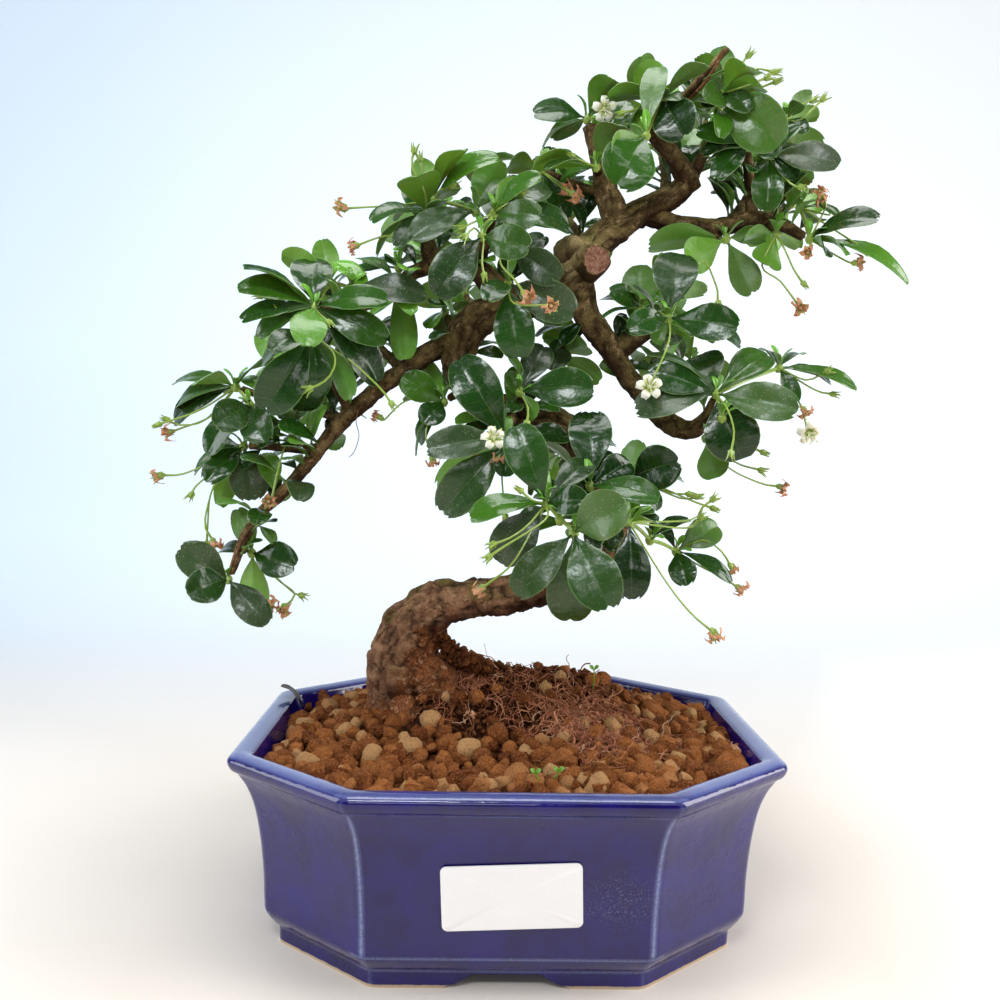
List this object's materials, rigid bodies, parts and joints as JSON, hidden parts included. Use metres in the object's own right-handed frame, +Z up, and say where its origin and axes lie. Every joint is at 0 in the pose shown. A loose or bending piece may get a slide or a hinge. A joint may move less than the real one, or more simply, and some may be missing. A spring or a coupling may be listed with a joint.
{
  "type": "fukien tea bonsai",
  "caption": "Small-leaved bonsai with a bent trunk, trained branches, glossy leafy shoots and a few blooms, planted in granular soil in an eight-sided blue glazed pot with a cut foot.",
  "frame": {"origin": "middle of the whole object's box, on the surface that the pot stands on", "axes": "+Z up; -Y towards the pot's front face with the bare label; +X along the pot's long side, to the right of somebody facing that front"},
  "size_m": [0.287, 0.16, 0.3444],
  "materials": {
    "cobalt_glaze": "glossy dark cobalt glaze, thin and pale on the edges, unglazed cream foot",
    "granular_soil": "matt fired clay granules with fine root fibres",
    "bare_card": "smooth white, bare",
    "bark": "rough grey-brown bark with mossy patches",
    "leaf": "glossy dark green, paler underside",
    "white_petal": "soft matt",
    "spent_petal": "dry, papery"
  },
  "bodies": {
    "root": {"bloom_spent_1": "spent_petal", "bloom_spent_2": "spent_petal", "bloom_spent_3": "spent_petal", "bloom_spent_4": "spent_petal", "bloom_spent_5": "spent_petal", "bloom_spent_6": "spent_petal", "bloom_spent_7": "spent_petal", "bloom_spent_8": "spent_petal", "bloom_white_1": "white_petal", "bloom_white_2": "white_petal", "bloom_white_3": "white_petal", "bloom_white_4": "white_petal", "label": "bare_card", "leaves_back_centre_b": "leaf", "leaves_back_crown_a": "leaf", "leaves_back_crown_b": "leaf", "leaves_back_crown_c": "leaf", "leaves_back_middle": "leaf", "leaves_back_right": "leaf", "leaves_back_right_low": "leaf", "leaves_back_right_mid": "leaf", "leaves_back_shelf_a": "leaf", "leaves_back_shelf_b": "leaf", "leaves_back_upper_left": "leaf", "leaves_back_upper_mid": "leaf", "leaves_back_upper_right": "leaf", "leaves_branch_left": "leaf", "leaves_centre": "leaf", "leaves_centre_back": "leaf", "leaves_centre_low": "leaf", "leaves_crown_far": "leaf", "leaves_crown_left": "leaf", "leaves_crown_mid": "leaf", "leaves_crown_right": "leaf", "leaves_front_high": "leaf", "leaves_front_mid": "leaf", "leaves_front_right": "leaf", "leaves_leader_side": "leaf", "leaves_leaning_leader": "leaf", "leaves_left_upright": "leaf", "leaves_low_left": "leaf", "leaves_low_left_side": "leaf", "leaves_mid_left": "leaf", "leaves_middle_right": "leaf", "leaves_right_end": "leaf", "leaves_right_low": "leaf", "leaves_right_mid_front": "leaf", "leaves_shelf": "leaf", "leaves_shelf_low": "leaf", "leaves_side_left": "leaf", "leaves_stub_top": "leaf", "leaves_trunk_left": "leaf", "leaves_trunk_left_up": "leaf", "leaves_trunk_right": "leaf", "leaves_under_branch": "leaf", "leaves_under_branch_right": "leaf", "leaves_upper_centre": "leaf", "pot": "cobalt_glaze", "soil": "granular_soil", "trunk_and_branches": "bark"}
  },
  "joints": []
}
